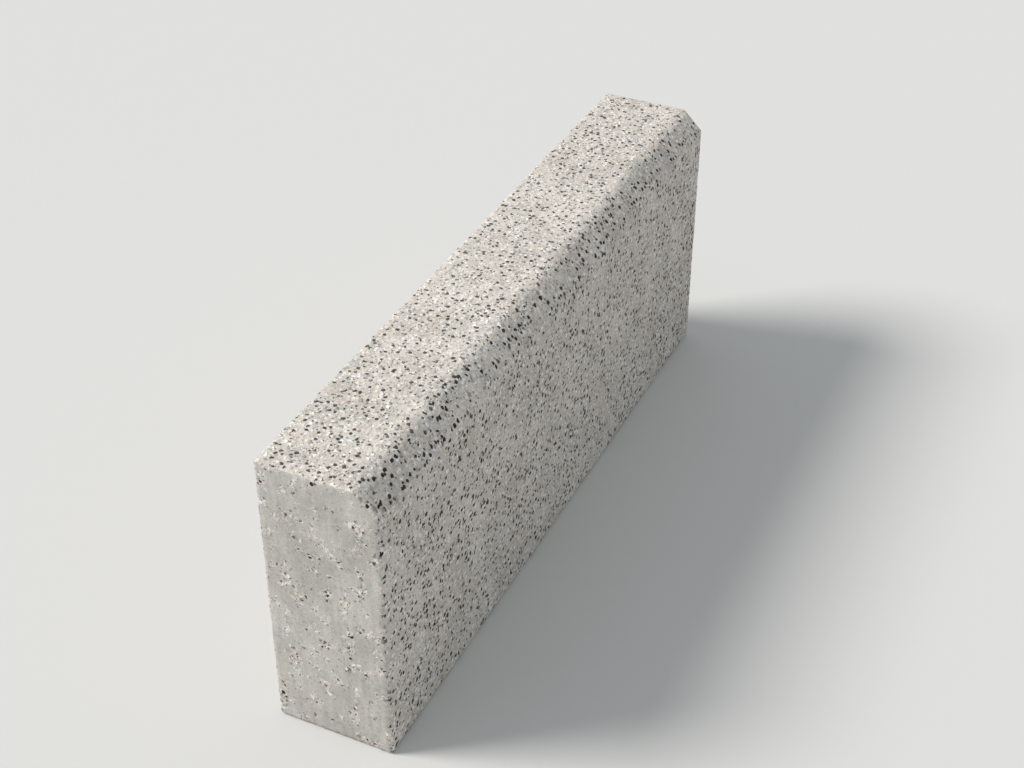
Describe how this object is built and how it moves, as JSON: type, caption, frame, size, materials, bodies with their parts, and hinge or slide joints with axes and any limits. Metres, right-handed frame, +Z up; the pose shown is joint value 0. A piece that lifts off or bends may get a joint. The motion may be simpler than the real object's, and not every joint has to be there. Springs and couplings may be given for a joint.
{
  "type": "concrete kerb stone",
  "caption": "Straight concrete edging kerb, flat on all sides and square at its ends, with a bevel along the top edge that faces the paving and a blasted, speckled granite-chip surface.",
  "frame": {"origin": "middle of the base, which is the bottom centre of the bounding box", "axes": "+X runs along the kerb, +Z is up, -Y is the bevelled side that the paving meets and +Y is the plain back"},
  "size_m": [0.5, 0.08, 0.2],
  "materials": {
    "concrete": "fine blasted, pale matrix with black, grey and white granite chips"
  },
  "bodies": {
    "root": {"kerb_stone": "concrete"}
  },
  "joints": []
}
